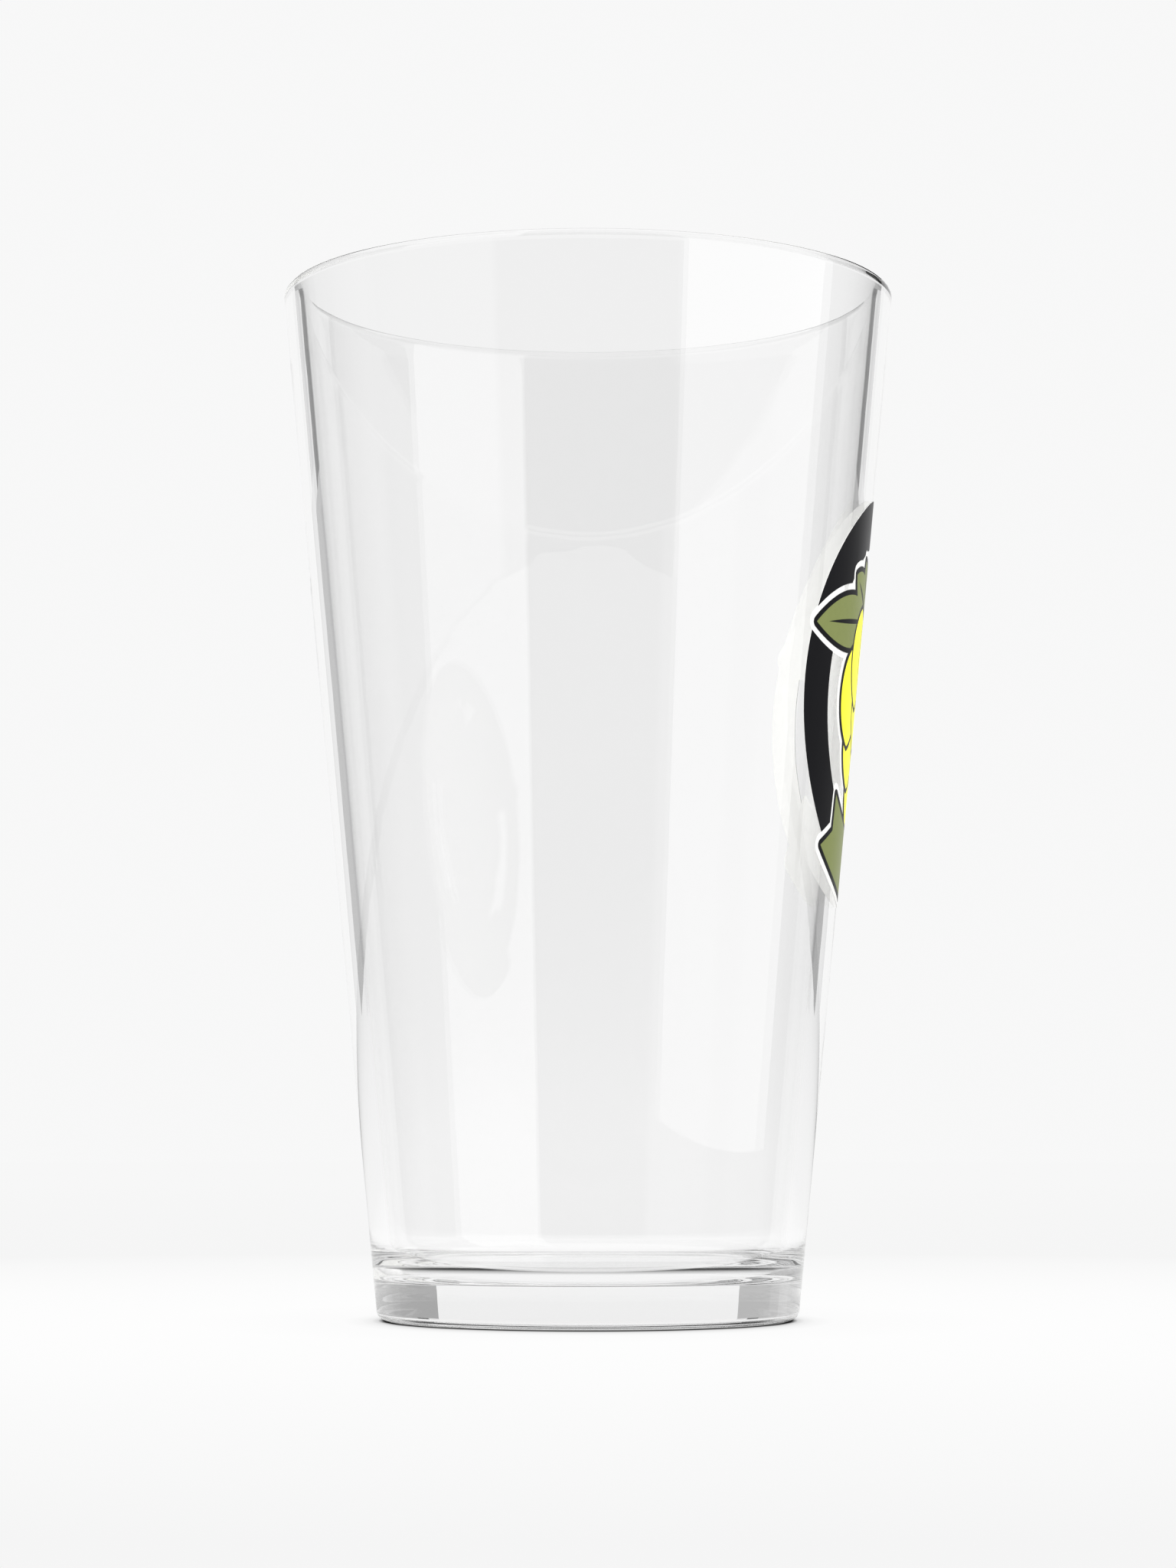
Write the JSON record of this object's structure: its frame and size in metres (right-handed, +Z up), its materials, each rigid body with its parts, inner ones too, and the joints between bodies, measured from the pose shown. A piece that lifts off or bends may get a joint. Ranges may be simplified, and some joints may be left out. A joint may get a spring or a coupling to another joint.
{
  "type": "pint glass",
  "caption": "Clear straight-sided pint tumbler that tapers to a thick foot, with a round printed badge on its side.",
  "frame": {"origin": "centre of the foot at table level", "axes": "+Z up along the glass's axis, +X out through the centre of the printed badge"},
  "size_m": [0.0888, 0.0888, 0.1492],
  "materials": {
    "clear_glass": "clear, fire polished",
    "white_ink": "gloss",
    "black_ink": "gloss",
    "yellow_ink": "gloss",
    "olive_ink": "gloss"
  },
  "bodies": {
    "root": {"glass_body": "clear_glass", "print_white_base": "white_ink", "print_black_ring": "black_ink", "print_black_linework": "black_ink", "print_yellow_hop_cone": "yellow_ink", "print_olive_leaves": "olive_ink", "print_olive_ribbon": "olive_ink"}
  },
  "joints": []
}
